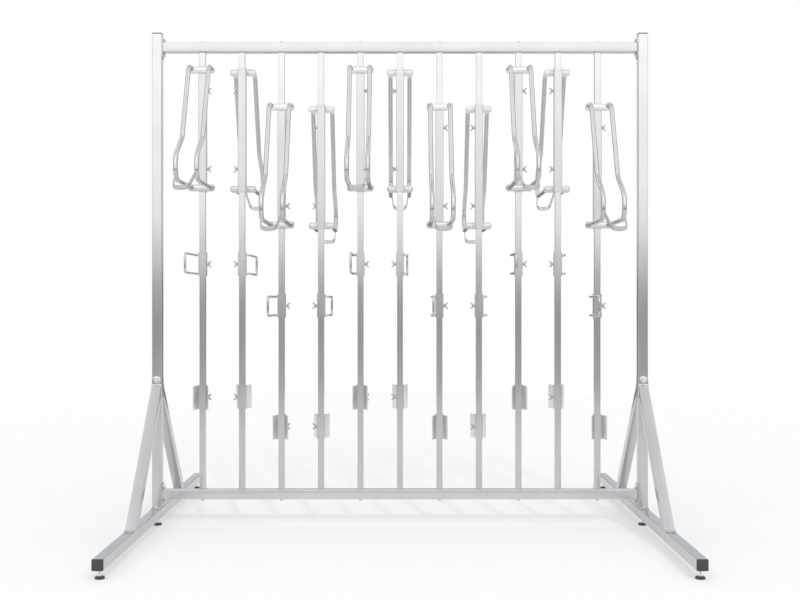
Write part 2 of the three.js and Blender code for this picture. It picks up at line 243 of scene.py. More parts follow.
def shaded(nodes, links, noise, tone, shades):
    """The tone, made darker and lighter by the two shades as the noise goes."""
    dark, light = (tuple(shade * value for value in tone) for shade in shades)
    return blend(nodes, links, between(nodes, links, noise, 0.0, 1.0), dark, light)


def bump(nodes, links, height, distance, strength):
    relief = nodes.new("ShaderNodeBump")
    relief.inputs["Distance"].default_value = distance
    relief.inputs["Strength"].default_value = strength
    links.new(height, relief.inputs["Height"])
    return relief.outputs["Normal"]


def steel(name, tone, roughness, grain, relief=0.0, edge=EDGE_TONE):
    """Zinc-plated steel with faint drawing lines along its length and a slow change of tone."""
    material, nodes, links, shader = new_material(name)
    shader.inputs["Metallic"].default_value = 1.0
    shader.inputs["Specular Tint"].default_value = edge
    clouds = object_noise(nodes, links, EVENLY, CLOUD_SCALE, CLOUD_DETAIL)
    lines = object_noise(nodes, links, grain, LINE_SCALE, LINE_DETAIL)
    colour = shaded(nodes, links, clouds, tone, STEEL_SHADES)
    links.new(colour, shader.inputs["Base Color"])
    low, high = roughness - STEEL_SMOOTHER, roughness + STEEL_ROUGHER
    links.new(between(nodes, links, lines, low, high), shader.inputs["Roughness"])
    links.new(bump(nodes, links, lines, LINE_DEPTH, relief), shader.inputs["Normal"])
    return material


def plastic(name, tone, roughness):
    material, nodes, links, shader = new_material(name)
    pores = object_noise(nodes, links, EVENLY, PORE_SCALE, PORE_DETAIL)
    patches = object_noise(nodes, links, EVENLY, PATCH_SCALE, PATCH_DETAIL)
    colour = shaded(nodes, links, patches, tone, PLASTIC_SHADES)
    links.new(colour, shader.inputs["Base Color"])
    low, high = roughness - PLASTIC_ROUGHNESS_SWING, roughness + PLASTIC_ROUGHNESS_SWING
    links.new(between(nodes, links, pores, low, high), shader.inputs["Roughness"])
    links.new(bump(nodes, links, pores, PORE_DEPTH, PORE_RELIEF), shader.inputs["Normal"])
    return material


def weld_metal(name, tone):
    material, nodes, links, shader = new_material(name)
    shader.inputs["Metallic"].default_value = 1.0
    ripple = object_noise(nodes, links, EVENLY, RIPPLE_SCALE, RIPPLE_DETAIL)
    colour = shaded(nodes, links, ripple, tone, BEAD_SHADES)
    links.new(colour, shader.inputs["Base Color"])
    links.new(between(nodes, links, ripple, *BEAD_ROUGHNESS), shader.inputs["Roughness"])
    links.new(bump(nodes, links, ripple, RIPPLE_DEPTH, RIPPLE_RELIEF), shader.inputs["Normal"])
    return material


# Noise scales along each axis, small along the drawing lines
ALONG = {"X": (9.0, 700.0, 700.0), "Y": (700.0, 9.0, 700.0), "Z": (700.0, 700.0, 9.0)}
CROSSBAR_GRAIN = (60.0, 700.0, 700.0)
BAR_GRAIN = (40.0, 40.0, 40.0)
SCREW_GRAIN = (90.0, 90.0, 90.0)

tube_steel = {
    axis: steel(f"tube_steel_{axis}", (0.57, 0.57, 0.567), roughness=0.18, grain=grain, relief=0.25)
    for axis, grain in ALONG.items()
}
# Two copies of the same tube steel: the top rail's darker tone is painted shade and the bottom
# rail's lighter tone is painted light
rail_steel_painted_light_and_shade = {
    node: steel(f"{node}_steel", tone, roughness=0.26, grain=ALONG["X"], relief=0.25)
    for node, tone in (("top_rail", (0.545, 0.545, 0.54)), ("bottom_rail", (0.65, 0.65, 0.645)))
}
# The flanges get a lighter, rougher copy of the sleeve steel: painted light that lifts the darkness
# of their reflections between sleeve and post
sleeve_steel, holder_sleeve_steel, flange_steel_painted_light = (
    steel(name, tone, roughness, grain=ALONG["Z"], relief=0.15)
    for name, tone, roughness in (
        ("sleeve_steel", (0.58, 0.58, 0.577), 0.20),
        ("holder_sleeve_steel", (0.54, 0.54, 0.537), 0.26),
        ("flange_steel_painted_light", (0.80, 0.80, 0.795), 0.34),
    )
)
# Two copies of one crossbar steel by level: the lower bars' darker tone is painted shade and the
# upper bars' whiter tone is painted light
crossbar_steel_painted_light_and_shade = {
    level: steel(f"{level}_crossbar_steel_painted_light_and_shade", tone, roughness, grain=CROSSBAR_GRAIN, edge=WHITE)
    for level, tone, roughness in (
        ("lower", (0.68, 0.68, 0.67), 0.48),
        ("upper", (0.81, 0.81, 0.795), 0.58),
    )
}
bar_steel = steel("bar_steel", (0.55, 0.555, 0.565), roughness=0.16, grain=BAR_GRAIN)
screw_steel = steel("screw_steel", (0.74, 0.74, 0.73), roughness=0.32, grain=SCREW_GRAIN)
wing_steel = steel("wing_steel", (0.42, 0.42, 0.415), roughness=0.35, grain=SCREW_GRAIN)
bead_steel = weld_metal("bead_steel", (0.60, 0.60, 0.60))
black_plastic = plastic("black_plastic", (0.042, 0.042, 0.042), roughness=0.5)


def at(x=0.0, y=0.0, z=0.0):
    return Matrix.Translation((x, y, z))


def about(axis, angle):
    return Matrix.Rotation(angle, 4, axis)


def heading(direction):
    """Matrix that turns +Z to the direction."""
    return Vector(direction).to_track_quat("Z", "Y").to_matrix().to_4x4()


def edges_where(bm, test):
    return [edge for edge in bm.edges if test(edge.verts[0].co, edge.verts[1].co)]


def upright(a, b):
    return abs(a.z - b.z) > max(abs(a.x - b.x), abs(a.y - b.y))


def lies_level(a, b):
    return abs(a.z - b.z) < TINY


def climbs(a, b):
    return not lies_level(a, b)


def same_x(a, b):
    return abs(a.x - b.x) < TINY


def soften(bm, edges, width, steps=EDGE_STEPS):
    bmesh.ops.bevel(
        bm, geom=edges, offset=width, segments=steps, affect="EDGES", profile=ROUND_PROFILE,
        material=-1, clamp_overlap=True,
    )


def spun(bm, geom, steps):
    """Sweeps the geometry once round the Z axis."""
    bmesh.ops.spin(
        bm, geom=geom, cent=(0, 0, 0), axis=(0, 0, 1), angle=math.tau, steps=steps, use_merge=True
    )


def block(low, high):
    low, high = Vector(low), Vector(high)
    bm = bmesh.new()
    size = Matrix.Diagonal((*(high - low), 1.0))
    bmesh.ops.create_cube(bm, size=1.0, matrix=Matrix.Translation((low + high) / 2) @ size)
    return bm


def square_bar(side, corner, low, high, rim=0.0):
    """Square bar along Z with rounded long edges, and softened end edges where rim is given."""
    bm = block((-side / 2, -side / 2, low), (side / 2, side / 2, high))
    soften(bm, edges_where(bm, upright), corner, CORNER_STEPS)
    if rim:
        soften(bm, edges_where(bm, lies_level), rim)
    return bm


def square_tube(side, corner, wall, low, high):
    """Open square tube along Z."""
    bm = square_bar(side, corner, low, high)
    ends = [face for face in bm.faces if abs(face.normal.z) > ALIGNED]
    bmesh.ops.delete(bm, geom=ends, context="FACES_ONLY")
    bmesh.ops.recalc_face_normals(bm, faces=bm.faces)
    bmesh.ops.solidify(bm, geom=bm.faces, thickness=wall)
    return bm


def turned(profile, steps=ROUND_STEPS):
    """Shape turned about Z from points of radius and height that start and end on the axis."""
    bm = bmesh.new()
    chain = [bm.verts.new((radius, 0.0, height)) for radius, height in profile]
    edges = [bm.edges.new(pair) for pair in zip(chain, chain[1:])]
    spun(bm, chain + edges, steps)
    bmesh.ops.remove_doubles(bm, verts=bm.verts, dist=TINY)
    return bm


def ring_of(bm, made):
    """The vertices among what was made, and the edges that join them."""
    fresh = [item for item in made if isinstance(item, bmesh.types.BMVert)]
    known = set(fresh)
    return fresh, [edge for edge in bm.edges if known.issuperset(edge.verts)]


def drawn_out(bm, ring, shift):
    """Extrudes a ring of edges by the shift and returns the new ring's vertices and edges."""
    made = bmesh.ops.extrude_edge_only(bm, edges=ring)["geom"]
    fresh, ring = ring_of(bm, made)
    bmesh.ops.translate(bm, vec=shift, verts=fresh)
    return fresh, ring


def carried(bm, ring, corners, bends):
    """Carries a closed ring of edges through the corners, round a bend at each inner one."""
    place = corners[0]
    for before, corner, after, bend in zip(corners, corners[1:], corners[2:], bends):
        ahead = (corner - before).normalized()
        onward = (after - corner).normalized()
        turn = ahead.angle(onward)
        stop = corner - ahead * (bend * math.tan(turn / 2))
        fresh, ring = drawn_out(bm, ring, stop - place)
        axis = ahead.cross(onward).normalized()
        centre = stop + axis.cross(ahead) * bend
        steps = math.ceil(turn / BEND_STEP)
        bent = bmesh.ops.spin(
            bm, geom=fresh + ring, cent=centre, axis=axis, angle=turn, steps=steps
        )
        ring = ring_of(bm, bent["geom_last"])[1]
        place = centre + Matrix.Rotation(turn, 3, axis) @ (stop - centre)
    drawn_out(bm, ring, corners[-1] - place)
    bmesh.ops.holes_fill(bm, edges=bm.edges, sides=0)
    return bm


def round_bar(radius, corners, bends):
    corners = [Vector(corner) for corner in corners]
    bm = bmesh.new()
    start = Matrix.Translation(corners[0]) @ heading(corners[1] - corners[0])
    bmesh.ops.create_circle(bm, segments=BAR_STEPS, radius=radius, matrix=start)
    return carried(bm, bm.edges[:], corners, bends)


def flat_bar(width, thick, rounding, across, corners, bends):
    """Flat bar carried through the corners, with its width along the direction across."""
    ahead = (corners[1] - corners[0]).normalized()
    across = across.normalized()
    turned_to = Matrix((across, ahead.cross(across), ahead)).transposed().to_4x4()
    bm = bmesh.new()
    square = about("Z", math.pi / 4)
    size = Matrix.Diagonal((width / math.sqrt(2), thick / math.sqrt(2), 1.0, 1.0))
    bmesh.ops.create_circle(bm, cap_ends=True, segments=4, radius=1.0, matrix=size @ square)
    bmesh.ops.bevel(
        bm, geom=bm.verts[:], offset=rounding, segments=EDGE_STEPS, affect="VERTICES",
        profile=ROUND_PROFILE, material=-1,
    )
    bmesh.ops.delete(bm, geom=bm.faces[:], context="FACES_ONLY")
    start = Matrix.Translation(corners[0]) @ turned_to
    bmesh.ops.transform(bm, matrix=start, verts=bm.verts)
    return carried(bm, bm.edges[:], corners, bends)


def joined(*parts):
    """One mesh from several, each with the matrix that places it."""
    whole = bmesh.new()
    for bm, matrix in parts:
        bmesh.ops.transform(bm, matrix=matrix, verts=bm.verts)
        bmesh.ops.recalc_face_normals(bm, faces=bm.faces)
        mesh = bpy.data.meshes.new("part")
        bm.to_mesh(mesh)
        bm.free()
        whole.from_mesh(mesh)
        bpy.data.meshes.remove(mesh)
    return whole


def square_bead(side, leg=BEAD):
    """Weld bead round the foot of a square tube that stands on its origin."""
    bm = bmesh.new()
    low, high = (side / 2 + leg) * math.sqrt(2), side / 2 * math.sqrt(2)
    turn = about("Z", math.pi / 4) @ at(z=leg / 2)
    bmesh.ops.create_cone(
        bm, cap_ends=True, segments=4, radius1=low, radius2=high, depth=leg, matrix=turn
    )
    soften(bm, edges_where(bm, climbs), leg, BEAD_STEPS)
    return bm


def round_bead(radius, leg=FINE_BEAD):
    """Weld bead round the foot of a round bar that stands on its origin."""
    crown = (radius + CROWN_OUT * leg, CROWN_UP * leg)
    return turned([(0.0, 0.0), (radius + leg, 0.0), crown, (radius, leg), (0.0, leg)])


def nut(washer=WASHER_RADIUS):
    """Washer, hexagon nut and bolt end, standing on their origin."""
    ring = turned([
        (0.0, 0.0),
        (washer, 0.0),
        (washer, WASHER_THICK - WASHER_ROUND),
        (washer - WASHER_ROUND, WASHER_THICK),
        (0.0, WASHER_THICK),
    ])
    radius = NUT_ACROSS / math.sqrt(3)
    hexagon = bmesh.new()
    bmesh.ops.create_cone(
        hexagon, cap_ends=True, segments=6, radius1=radius, radius2=radius, depth=NUT_HEIGHT,
        matrix=at(z=WASHER_THICK + NUT_HEIGHT / 2),
    )
    soften(hexagon, edges_where(hexagon, lies_level), NUT_ROUND)
    top = WASHER_THICK + NUT_HEIGHT
    end = turned([
        (0.0, top - BOLT_PROUD),
        (BOLT_RADIUS, top - BOLT_PROUD),
        (BOLT_RADIUS, top + BOLT_END),
        (BOLT_END_RADIUS, top + BOLT_PROUD),
        (0.0, top + BOLT_PROUD),
    ])
    return joined((ring, at()), (hexagon, at()), (end, at()))


def domed_head():
    rise = HEAD_HEIGHT - HEAD_RIM
    dome = [(HEAD_RADIUS * math.cos(a), HEAD_RIM + rise * math.sin(a)) for a in QUARTER_ARC]
    return turned([(0.0, 0.0), (HEAD_RADIUS, 0.0), *dome[:-1], (0.0, HEAD_HEIGHT)])


def wing(way):
    """One wing of a wing screw along +X, spread up where way is 1 and down where it is -1."""
    bm = bmesh.new()
    outline = Matrix.Diagonal((WING_LENGTH / 2, WING_WIDTH / 2, 1.0, 1.0))
    bmesh.ops.create_circle(bm, cap_ends=True, segments=WING_STEPS, radius=1.0, matrix=outline)
    made = bmesh.ops.extrude_face_region(bm, geom=bm.faces[:])["geom"]
    bmesh.ops.translate(bm, vec=(0, 0, WING_THICK), verts=ring_of(bm, made)[0])
    soften(bm, edges_where(bm, lies_level), WING_ROUND)
    lift = at(x=WING_OUT, z=-WING_THICK / 2)
    root = at(x=WING_ROOT_OUT, z=way * WING_ROOT_RISE)
    return bm, root @ about("Y", -way * WING_SPREAD) @ about("X", QUARTER) @ lift


def wing_screw():
    """Wing screw along +X: a tapered hub, a neck and two wings that spread up and down."""
    hub = turned([
        (0.0, 0.0),
        (HUB_RADIUS, 0.0),
        (HUB_SHOULDER_RADIUS, HUB_SHOULDER),
        (NECK_RADIUS, HUB_LENGTH),
        (NECK_RADIUS, NECK_LENGTH),
        (NECK_END_RADIUS, NECK_LENGTH + NECK_END),
        (0.0, NECK_LENGTH + NECK_END),
    ], WING_STEPS)
    return joined((hub, about("Y", QUARTER)), wing(-1), wing(1))


def piece(name, bm, matrix, body, material, replaces=None, reflected=True):
    """Makes the mesh a piece of the rack that rides on its body, in reflections or out of them."""
    bmesh.ops.transform(bm, matrix=matrix, verts=bm.verts)
    bmesh.ops.recalc_face_normals(bm, faces=bm.faces)
    mesh = bpy.data.meshes.new(name)
    bm.to_mesh(mesh)
    bm.free()
    mesh.shade_smooth()
    mesh.set_sharp_from_angle(angle=SMOOTH_BELOW)
    mesh.materials.append(material)
    made = bpy.data.objects.new(name, mesh)
    bpy.context.scene.collection.objects.link(made)
    made.visible_glossy = reflected
    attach(made, body)
    if replaces:
        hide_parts(replaces)


def add_nut(name, spot, node, washer=WASHER_RADIUS):
    piece(name, nut(washer), spot, "frame", screw_steel, node)


# Places of the frame's parts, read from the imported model
foot_low, foot_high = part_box("foot_tube_left")
foot_top = foot_high.z
foot_axis = (foot_low.z + foot_high.z) / 2
foot_end = foot_high.y
post_low, post_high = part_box("end_post_right")
end_post_x = post_low.x + TUBE / 2
post_top = post_high.z
rail_axis = {
    name: sum(corner.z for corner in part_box(name)) / 2 for name in ("top_rail", "bottom_rail")
}
clear_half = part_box("top_rail")[1].x

# The braces' slant, from plate to plate
brace_height = BRACE_TOP - foot_top
brace_drop = brace_height - PLATE
brace_run = BRACE_REACH - TUBE / 2 - PLATE
brace_lean = math.atan2(brace_run, brace_drop)
brace_foot_length = TUBE / math.cos(brace_lean)
brace_head_length = TUBE / math.sin(brace_lean)


def end_plate():
    half = END_PLATE_HEIGHT / 2
    bm = block((-PLATE, -TUBE / 2, -half), (0.0, TUBE / 2, half))
    soften(bm, bm.edges[:], PLATE_ROUND)
    return bm


def tab(inner, bolt):
    """Flat plate along +Y with two rounded far corners, standing on its origin."""
    far = bolt + TAB_MARGIN
    bm = block((-TUBE / 2, inner - PLATE, 0.0), (TUBE / 2, far, PLATE))
    ends = edges_where(bm, lambda a, b: upright(a, b) and min(a.y, b.y) > far - NEAR)
    soften(bm, ends, TAB_CORNER, TAB_STEPS)
    soften(bm, edges_where(bm, lies_level), PLATE_ROUND)
    return bm


def brace_tube():
    """Slanting tube that comes down towards -Y, cut flat where it meets its two plates."""
    length = math.hypot(brace_run, brace_drop) + BRACE_SPARE
    bm = square_bar(TUBE, TUBE_CORNER, -BRACE_SPARE, length)
    slant = at(y=-BRACE_REACH, z=PLATE) @ about("X", -brace_lean) @ at(y=TUBE / 2)
    bmesh.ops.transform(bm, matrix=slant, verts=bm.verts)
    cuts = (
        ((0, 0, PLATE), (0, 0, -1)),
        ((0, -TUBE / 2 - PLATE, 0), (0, 1, 0)),
    )
    for point, outward in cuts:
        geom = bm.verts[:] + bm.edges[:] + bm.faces[:]
        bmesh.ops.bisect_plane(bm, geom=geom, plane_co=point, plane_no=outward, clear_outer=True)
        bmesh.ops.holes_fill(bm, edges=bm.edges, sides=0)
    return bm


def brace_beads():
    """Beads round the slanting tube's two feet, each as long as the tube is where it is cut."""
    low, high = square_bead(TUBE, BRACE_BEAD), square_bead(TUBE, BRACE_BEAD)
    bmesh.ops.scale(low, vec=(1, brace_foot_length / TUBE, 1), verts=low.verts)
    bmesh.ops.scale(high, vec=(1, brace_head_length / TUBE, 1), verts=high.verts)
    on_foot = at(y=-BRACE_REACH + brace_foot_length / 2, z=PLATE)
    on_post = at(y=-TUBE / 2 - PLATE, z=brace_height - brace_head_length / 2)
    return joined((low, on_foot), (high, on_post @ about("X", QUARTER)))


def add_brace(side_name, place):
    x = SIDES[side_name] * end_post_x
    stand = at(x, 0, foot_top) @ about("Z", TURN[place])
    node = f"brace_{place}_{side_name}"
    # The end post stays evenly light behind the slanting tube
    piece(
        node + "_tube", brace_tube(), stand, "frame", tube_steel["Z"], node,
        reflected=False,
    )
    low_bolt, high_bolt = BRACE_REACH + BRACE_BOLT_LEAD, brace_height + BRACE_BOLT_RISE
    low = tab(BRACE_REACH - brace_foot_length, low_bolt)
    high = tab(brace_height - brace_head_length, high_bolt)
    on_post = at(y=-TUBE / 2) @ about("X", QUARTER)
    plates = joined((low, about("Z", math.pi)), (high, on_post))
    piece(node + "_plates", plates, stand, "frame", tube_steel["Y"], node)
    piece(node + "_beads", brace_beads(), stand, "frame", tube_steel["Y"])
    spots = {
        "foot": at(y=-low_bolt, z=PLATE),
        "post": at(y=-TUBE / 2 - PLATE, z=high_bolt) @ about("X", QUARTER),
    }
    for level, spot in spots.items():
        name = f"brace_nut_{place}_{side_name}_{level}"
        add_nut(name, stand @ spot, node, BRACE_WASHER_RADIUS)


def add_end_post(side_name):
    side = SIDES[side_name]
    node = f"end_post_{side_name}"
    stand = at(side * end_post_x, 0, foot_top)
    cap_foot = post_top - CAP_LIP - foot_top
    tube = square_bar(TUBE, TUBE_CORNER, PLATE / 2, cap_foot)
    piece(node + "_tube", tube, stand, "frame", tube_steel["Z"], node)
    half = BASE_PLATE_LENGTH / 2
    base = block((-TUBE / 2, -half, 0.0), (TUBE / 2, half, PLATE))
    soften(base, base.edges[:], PLATE_ROUND)
    piece(node + "_base", base, stand, "frame", tube_steel["Y"], node)
    on_base = stand @ at(z=PLATE)
    piece(node + "_bead", square_bead(TUBE), on_base, "frame", bead_steel)
    cap = square_bar(TUBE, CAP_CORNER, 0.0, CAP_LIP, CAP_ROUND)
    on_tube = stand @ at(z=cap_foot)
    piece(node + "_cap", cap, on_tube, "frame", black_plastic, node)
    for level, y in BASE_BOLTS.items():
        add_nut(f"base_nut_{level}_{side_name}", stand @ at(y=y, z=PLATE), node)
    outer = side * (end_post_x + TUBE / 2)
    for rail, z in rail_axis.items():
        for level, offset in END_BOLTS.items():
            spot = at(outer, 0, z + offset) @ about("Y", side * QUARTER)
            name = f"{rail}_bolt_{level}_{side_name}"
            piece(name, domed_head(), spot, "frame", screw_steel, node)


def add_foot_tube(side_name):
    node = f"foot_tube_{side_name}"
    middle = at(SIDES[side_name] * end_post_x, 0, foot_axis)
    half = foot_end - CAP_LIP
    lying = about("X", QUARTER)
    tube = square_bar(TUBE, TUBE_CORNER, -half, half)
    piece(node + "_tube", tube, middle @ lying, "frame", tube_steel["Y"], node)
    for place, turn in TURN.items():
        cap = square_bar(TUBE, CAP_CORNER, half, half + CAP_LIP, CAP_ROUND)
        spot = middle @ about("Z", turn) @ lying
        name = f"{node}_cap_{place}"
        piece(name, cap, spot, "frame", black_plastic, node)


def foot_pad():
    reach, rise = PAD_RADIUS - COLLAR_RADIUS, PAD_HEIGHT - PAD_RIM
    crown = [
        (COLLAR_RADIUS + reach * math.cos(a), PAD_RIM + rise * math.sin(a)) for a in QUARTER_ARC
    ]
    edge = [(0.0, 0.0), (PAD_RADIUS - PAD_EDGE, 0.0), (PAD_RADIUS, PAD_EDGE)]
    return turned([*edge, *crown, (0.0, PAD_HEIGHT)])


def foot_stem(height):
    """Threaded stem with a bell-shaped collar that stands in the pad."""
    reach, rise = COLLAR_RADIUS - STEM_RADIUS, COLLAR_TOP - PAD_HEIGHT
    bell = [
        (STEM_RADIUS + reach * (1.0 - math.sin(a)), COLLAR_TOP - rise * math.cos(a))
        for a in QUARTER_ARC
    ]
    thread = []
    for turn in range(int((height - COLLAR_TOP) / THREAD_PITCH)):
        z = COLLAR_TOP + turn * THREAD_PITCH
        thread.append((STEM_RADIUS - THREAD_DEPTH, z + THREAD_PITCH / 2))
        thread.append((STEM_RADIUS, z + THREAD_PITCH))
    foot = [(0.0, PAD_RIM), (COLLAR_RADIUS, PAD_RIM)]
    return turned([*foot, *bell, *thread, (STEM_END_RADIUS, height), (0.0, height)])


def add_levelling_foot(side_name, place):
    node = f"levelling_foot_{place}_{side_name}"
    low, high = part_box(node)
    spot = at((low.x + high.x) / 2, (low.y + high.y) / 2, low.z)
    piece(f"{node}_pad", foot_pad(), spot, node, black_plastic, node)
    stem = foot_stem(high.z - low.z)
    piece(f"{node}_stem", stem, spot, node, screw_steel, node)


def add_rail(node, outer_side, post_places):
    middle = at(z=rail_axis[node])
    half = clear_half - PLATE / 2
    tube = square_bar(TUBE, TUBE_CORNER, -half, half)
    lying = middle @ about("Y", QUARTER)
    piece(node + "_tube", tube, lying, "frame", rail_steel_painted_light_and_shade[node], node)
    inwards = about("Y", -QUARTER)
    for side_name, side in SIDES.items():
        flip = about("Z", 0.0 if side > 0 else math.pi)
        spot = middle @ flip @ at(x=clear_half)
        name = f"{node}_plate_{side_name}"
        piece(name, end_plate(), spot, "frame", tube_steel["Z"], node)
        bead, bead_place = square_bead(TUBE, FINE_BEAD), spot @ at(x=-PLATE) @ inwards
        name = f"{node}_bead_{side_name}"
        piece(name, bead, bead_place, "frame", bead_steel)
        for level, offset in END_BOLTS.items():
            nut_place = spot @ at(x=-PLATE, z=offset) @ inwards
            add_nut(f"{node}_nut_{level}_{side_name}", nut_place, node)
    upside = about("X", 0.0 if outer_side > 0 else math.pi)
    for number, x in post_places:
        spot = middle @ at(x=x) @ upside @ at(z=TUBE / 2)
        add_nut(f"{node}_post_nut_{number}", spot, node)


def add_post(number):
    node = f"post_{number}"
    low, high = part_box(node)
    stand = at((low.x + high.x) / 2, 0, low.z)
    length = high.z - low.z
    tube = square_bar(POST, POST_CORNER, 0.0, length)
    piece(node + "_tube", tube, stand, "frame", tube_steel["Z"], node)
    upper_end = at(z=length) @ about("X", math.pi)
    beads = joined((square_bead(POST), at()), (square_bead(POST), upper_end))
    piece(node + "_beads", beads, stand, "frame", bead_steel)


def add_sleeve(node, stand, low, high, material):
    sleeve = square_tube(SLEEVE, SLEEVE_CORNER, SLEEVE_WALL, low, high)
    piece(node + "_sleeve", sleeve, stand, node, material, node)


def add_wing_screw(name, body, stand, height):
    spot = stand @ at(x=SLEEVE / 2, z=height)
    piece(name, wing_screw(), spot, body, wing_steel)


def arm(side):
    x = side * ARM_SPACING / 2
    corners = [
        (x, -CROSSBAR_LEAD, HOLDER_SPAN + ARM_RISE),
        (x, -SHOULDER_REACH, HOLDER_SPAN + ARM_RISE),
        (x, -KNEE_REACH, KNEE_HEIGHT),
        (x, -NOSE_REACH, NOSE_HEIGHT),
        (x, -HEEL_REACH, 0.0),
        (x, -CROSSBAR_LEAD, 0.0),
    ]
    return round_bar(ARM_RADIUS, corners, [SHOULDER_BEND, KNEE_BEND, NOSE_BEND, HEEL_BEND])


def crossbar():
    end = CROSSBAR_LENGTH / 2
    rim = end - CROSSBAR_DOME
    dome = [
        (CROSSBAR_RADIUS * math.cos(a), rim + CROSSBAR_DOME * math.sin(a)) for a in QUARTER_ARC
    ]
    dome[-1] = (0.0, end)
    near = [(radius, -height) for radius, height in reversed(dome)]
    return turned(near + dome)


def strap():
    root = Vector((ARM_SPACING / 2 - STRAP_THICK / 2, 0, 0))
    end = Vector((STRAP_END_WIDTH / 2 - STRAP_THICK / 2, 0, 0))
    start = Vector((0, -STRAP_ROOT_REACH, STRAP_ROOT_HEIGHT))
    tip = Vector((0, -STRAP_REACH, -STRAP_DROP))
    slope = (tip - start).normalized()
    far = tip - slope * STRAP_THICK / 2
    corners = [start - root, far - end, far + end, start + root]
    across = slope.cross(Vector((1, 0, 0)))
    bend = STRAP_CORNER - STRAP_THICK / 2
    return flat_bar(STRAP_WIDTH, STRAP_THICK, STRAP_ROUND, across, corners, [bend, bend])


def add_wheel_holder(number, x, turn, tier):
    node = f"wheel_holder_{number}"
    stand = at(x, 0, HOLDER_HEIGHTS[tier]) @ about("Z", turn)
    top = HOLDER_SPAN + CROSSBAR_RADIUS
    add_sleeve(node, stand, -CROSSBAR_RADIUS, top, holder_sleeve_steel)
    bars = []
    for level, z in (("lower", 0.0), ("upper", HOLDER_SPAN)):
        spot = stand @ at(y=-CROSSBAR_LEAD, z=z) @ about("Y", QUARTER)
        bars.append((f"{node}_crossbar_{level}", crossbar(), spot, crossbar_steel_painted_light_and_shade[level]))
    for side_name, side in SIDES.items():
        bars.append((f"{node}_arm_{side_name}", arm(side), stand, bar_steel))
    bars.append((node + "_strap", strap(), stand, bar_steel))
    # The posts and sleeves stay evenly light behind the bars
    for name, bm, spot, material in bars:
        piece(name, bm, spot, node, material, node, reflected=False)
    rim = CROSSBAR_LEAD + math.sqrt(CROSSBAR_RADIUS**2 - ARM_RISE**2)
    forward = about("X", QUARTER)
    beads = []
    for side in SIDES.values():
        x_arm = side * ARM_SPACING / 2
        upper = at(x_arm, -rim, HOLDER_SPAN + ARM_RISE)
        lower = at(x_arm, -CROSSBAR_LEAD - CROSSBAR_RADIUS, 0)
        beads.append((round_bead(ARM_RADIUS), upper @ forward))
        beads.append((round_bead(ARM_RADIUS), lower @ forward))
    piece(node + "_beads", joined(*beads), stand, node, bead_steel)
    upper_screw = HOLDER_SPAN - WING_INSET
    add_wing_screw(f"wing_screw_holder_upper_{number}", node, stand, upper_screw)
    add_wing_screw(f"wing_screw_holder_lower_{number}", node, stand, WING_INSET)


def loop_bar():
    root, top = -SLEEVE / 2 + SLEEVE_WALL / 2, LOOP_LOW + LOOP_GAP
    corners = [
        (root, 0, LOOP_LOW),
        (-LOOP_OFFSET, 0, LOOP_LOW),
        (-LOOP_OFFSET, -LOOP_REACH, LOOP_LOW),
        (-LOOP_OFFSET, -LOOP_REACH, top),
        (-LOOP_OFFSET, 0, top),
        (root, 0, top),
    ]
    bends = [LOOP_ROOT_BEND, LOOP_END_BEND, LOOP_END_BEND, LOOP_ROOT_BEND]
    return round_bar(LOOP_RADIUS, corners, bends)


def add_lock_loop(number, x, turn):
    node = f"lock_loop_{number}"
    stand = at(x, 0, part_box(node)[0].z) @ about("Z", turn)
    add_sleeve(node, stand, 0.0, SHORT_SLEEVE, sleeve_steel)
    piece(node + "_bar", loop_bar(), stand, node, bar_steel, node, reflected=False)
    outward = about("Y", -QUARTER)
    beads = joined(*(
        (round_bead(LOOP_RADIUS), at(x=-SLEEVE / 2, z=z) @ outward)
        for z in (LOOP_LOW, LOOP_LOW + LOOP_GAP)
    ))
    piece(node + "_beads", beads, stand, node, bead_steel)
    add_wing_screw(f"wing_screw_loop_{number}", node, stand, SHORT_SLEEVE / 2)


def flange(length):
    """Flat plate along -Y with rounded far corners and its outer face on the YZ plane."""
    bm = block((0.0, -length, 0.0), (FLANGE_THICK, 0.0, SHORT_SLEEVE))
    ends = edges_where(bm, lambda a, b: not same_x(a, b) and a.y < -length + NEAR)
    soften(bm, ends, FLANGE_CORNER, CORNER_STEPS)
    soften(bm, edges_where(bm, same_x), FLANGE_ROUND)
    bmesh.ops.translate(bm, vec=(-FLANGE_THICK, 0, 0), verts=bm.verts)
    return bm


def add_tyre_plate(number, x, turn):
    node = f"tyre_plate_{number}"
    stand = at(x, 0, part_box(node)[0].z) @ about("Z", turn)
    add_sleeve(node, stand, 0.0, SHORT_SLEEVE, sleeve_steel)
    half = SLEEVE / 2
    flare = FLANGE_SPREAD / 2 - half
    root = at(x=half, y=-half + FLANGE_THICK / 2)
    turn_out = root @ about("Z", math.atan2(flare, FLANGE_LENGTH))
    for side_name, side in SIDES.items():
        bm = flange(math.hypot(FLANGE_LENGTH, flare))
        spot = stand @ Matrix.Diagonal((side, 1.0, 1.0, 1.0)) @ turn_out
        name = f"{node}_flange_{side_name}"
        piece(name, bm, spot, node, flange_steel_painted_light, node)
    add_wing_screw(f"wing_screw_plate_{number}", node, stand, SHORT_SLEEVE / 2)


numbers = sorted(name[-2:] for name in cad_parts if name.startswith("post_"))
post_x, post_turn = {}, {}
for number in numbers:
    low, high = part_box(f"post_{number}")
    post_x[number] = (low.x + high.x) / 2
    holder_low, holder_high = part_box(f"wheel_holder_{number}")
    post_turn[number] = 0.0 if holder_low.y + holder_high.y < 0 else math.pi

for side_name in SIDES:
    add_end_post(side_name)
    add_foot_tube(side_name)
    for place in TURN:
        add_brace(side_name, place)
    for place in FOOT_PLACES:
        add_levelling_foot(side_name, place)

front_posts = [(number, post_x[number]) for number in numbers if post_turn[number] == 0.0]
add_rail("top_rail", 1, front_posts)
add_rail("bottom_rail", -1, front_posts)

